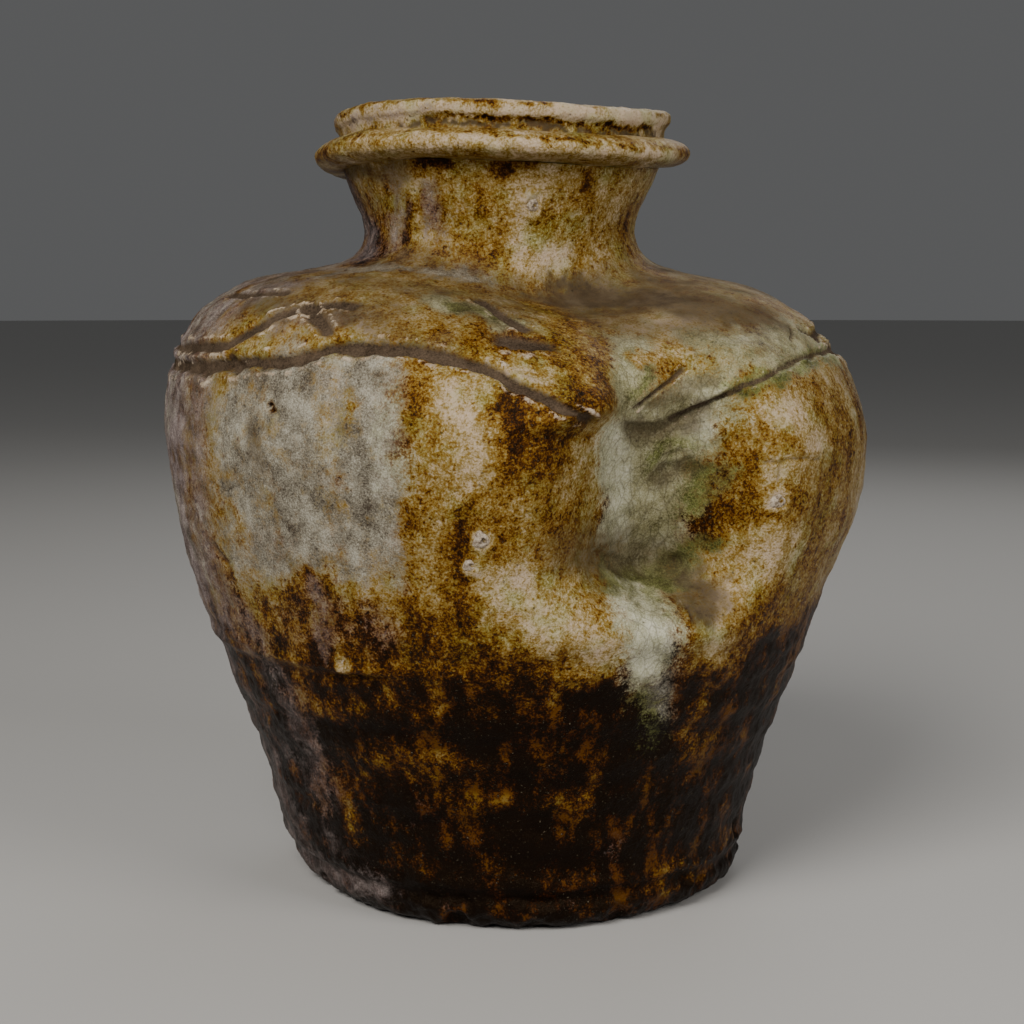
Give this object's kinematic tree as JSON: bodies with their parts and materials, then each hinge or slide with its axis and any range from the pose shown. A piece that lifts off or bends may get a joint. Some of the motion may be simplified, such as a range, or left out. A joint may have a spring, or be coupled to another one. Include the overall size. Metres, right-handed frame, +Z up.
{
  "type": "stoneware jar",
  "caption": "Open-mouthed coil-built stoneware jar with a dented front, a flaring neck, a rolled collar and a grooved lip.",
  "frame": {"origin": "centre of the flat underside, on the surface that the jar stands on", "axes": "+Z up through the mouth; -Y is the front, with the dent to the right of its middle; +X is the viewer's right"},
  "size_m": [0.2379, 0.2421, 0.2645],
  "materials": {
    "slab_clay": "rough burnt clay",
    "foot_glaze": "dark brown scorched glaze",
    "lower_glaze": "dark brown and amber ash glaze",
    "belly_glaze": "mottled grey-green, cream and amber ash glaze",
    "shoulder_glaze": "dusty grey-brown ash glaze",
    "neck_glaze": "cream and amber ash glaze",
    "collar_glaze": "cream ash glaze with amber edges",
    "lip_glaze": "cream ash glaze with amber edges",
    "feldspar": "white half-melted feldspar"
  },
  "bodies": {
    "root": {"base_slab": "slab_clay", "foot_course": "foot_glaze", "lower_wall": "lower_glaze", "belly_wall": "belly_glaze", "shoulder": "shoulder_glaze", "neck": "neck_glaze", "collar": "collar_glaze", "lip": "lip_glaze", "feldspar_stone_1": "feldspar", "feldspar_stone_2": "feldspar", "feldspar_stone_3": "feldspar", "feldspar_stone_4": "feldspar", "feldspar_stone_5": "feldspar"}
  },
  "joints": []
}
